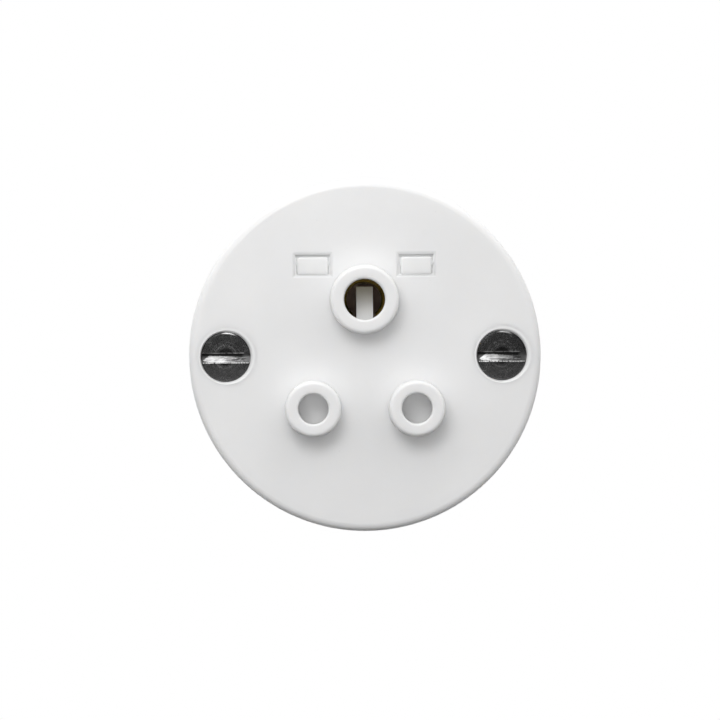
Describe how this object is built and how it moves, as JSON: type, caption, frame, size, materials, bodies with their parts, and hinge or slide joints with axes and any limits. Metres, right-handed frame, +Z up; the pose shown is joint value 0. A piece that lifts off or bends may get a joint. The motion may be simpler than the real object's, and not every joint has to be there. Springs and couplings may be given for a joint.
{
  "type": "round socket outlet",
  "caption": "Round white socket outlet for round pins, with raised pin tubes, sliding shutters and slotted fixing screws.",
  "frame": {"origin": "the disc's axis in the mounting plane, where the rim meets the box", "axes": "+X to the right seen from the front, +Z up with the earth pin on top, and the face looks towards -Y"},
  "size_m": [0.0646, 0.027, 0.0646],
  "materials": {
    "face_white": "gloss",
    "housing_white": "satin",
    "rear_brown": "satin",
    "shutter_white": "matte",
    "contact_brass": "satin",
    "terminal_brass": "satin",
    "terminal_screw_brass": "satin",
    "fixing_screw_steel": "satin",
    "plated_steel": "satin",
    "spring_steel": "satin",
    "washer_fibre": "matte"
  },
  "bodies": {
    "housing": {"cover_plate": "face_white", "contact_carrier": "housing_white", "rear_cover": "rear_brown", "shutter_spring": "spring_steel", "earth_contact": "contact_brass", "earth_terminal": "terminal_brass", "line_contact": "contact_brass", "line_terminal": "terminal_brass", "neutral_contact": "contact_brass", "neutral_terminal": "terminal_brass", "fixing_screw_left": "fixing_screw_steel", "retaining_washer_left": "washer_fibre", "rear_cover_screw_left": "plated_steel", "fixing_screw_right": "fixing_screw_steel", "retaining_washer_right": "washer_fibre", "rear_cover_screw_right": "plated_steel"},
    "shutter": {"shutter_slider": "shutter_white"},
    "earth_screw": {"earth_terminal_screw": "terminal_screw_brass"},
    "line_screw": {"line_terminal_screw": "terminal_screw_brass"},
    "neutral_screw": {"neutral_terminal_screw": "terminal_screw_brass"}
  },
  "joints": [
    {"name": "shutter_slide", "type": "slide", "parent": "housing", "child": "shutter", "axis": [0, 0, -1], "range_m": [0, 0.0062], "stiffness_N_per_m": 150, "springref_m": -0.003, "deforming": ["shutter_spring"]},
    {"name": "earth_screw_travel", "type": "slide", "parent": "housing", "child": "earth_screw", "axis": [0, -1, 0], "range_m": [0, 0.0028]},
    {"name": "line_screw_travel", "type": "slide", "parent": "housing", "child": "line_screw", "axis": [0, -1, 0], "range_m": [0, 0.0028]},
    {"name": "neutral_screw_travel", "type": "slide", "parent": "housing", "child": "neutral_screw", "axis": [0, -1, 0], "range_m": [0, 0.0028]}
  ]
}
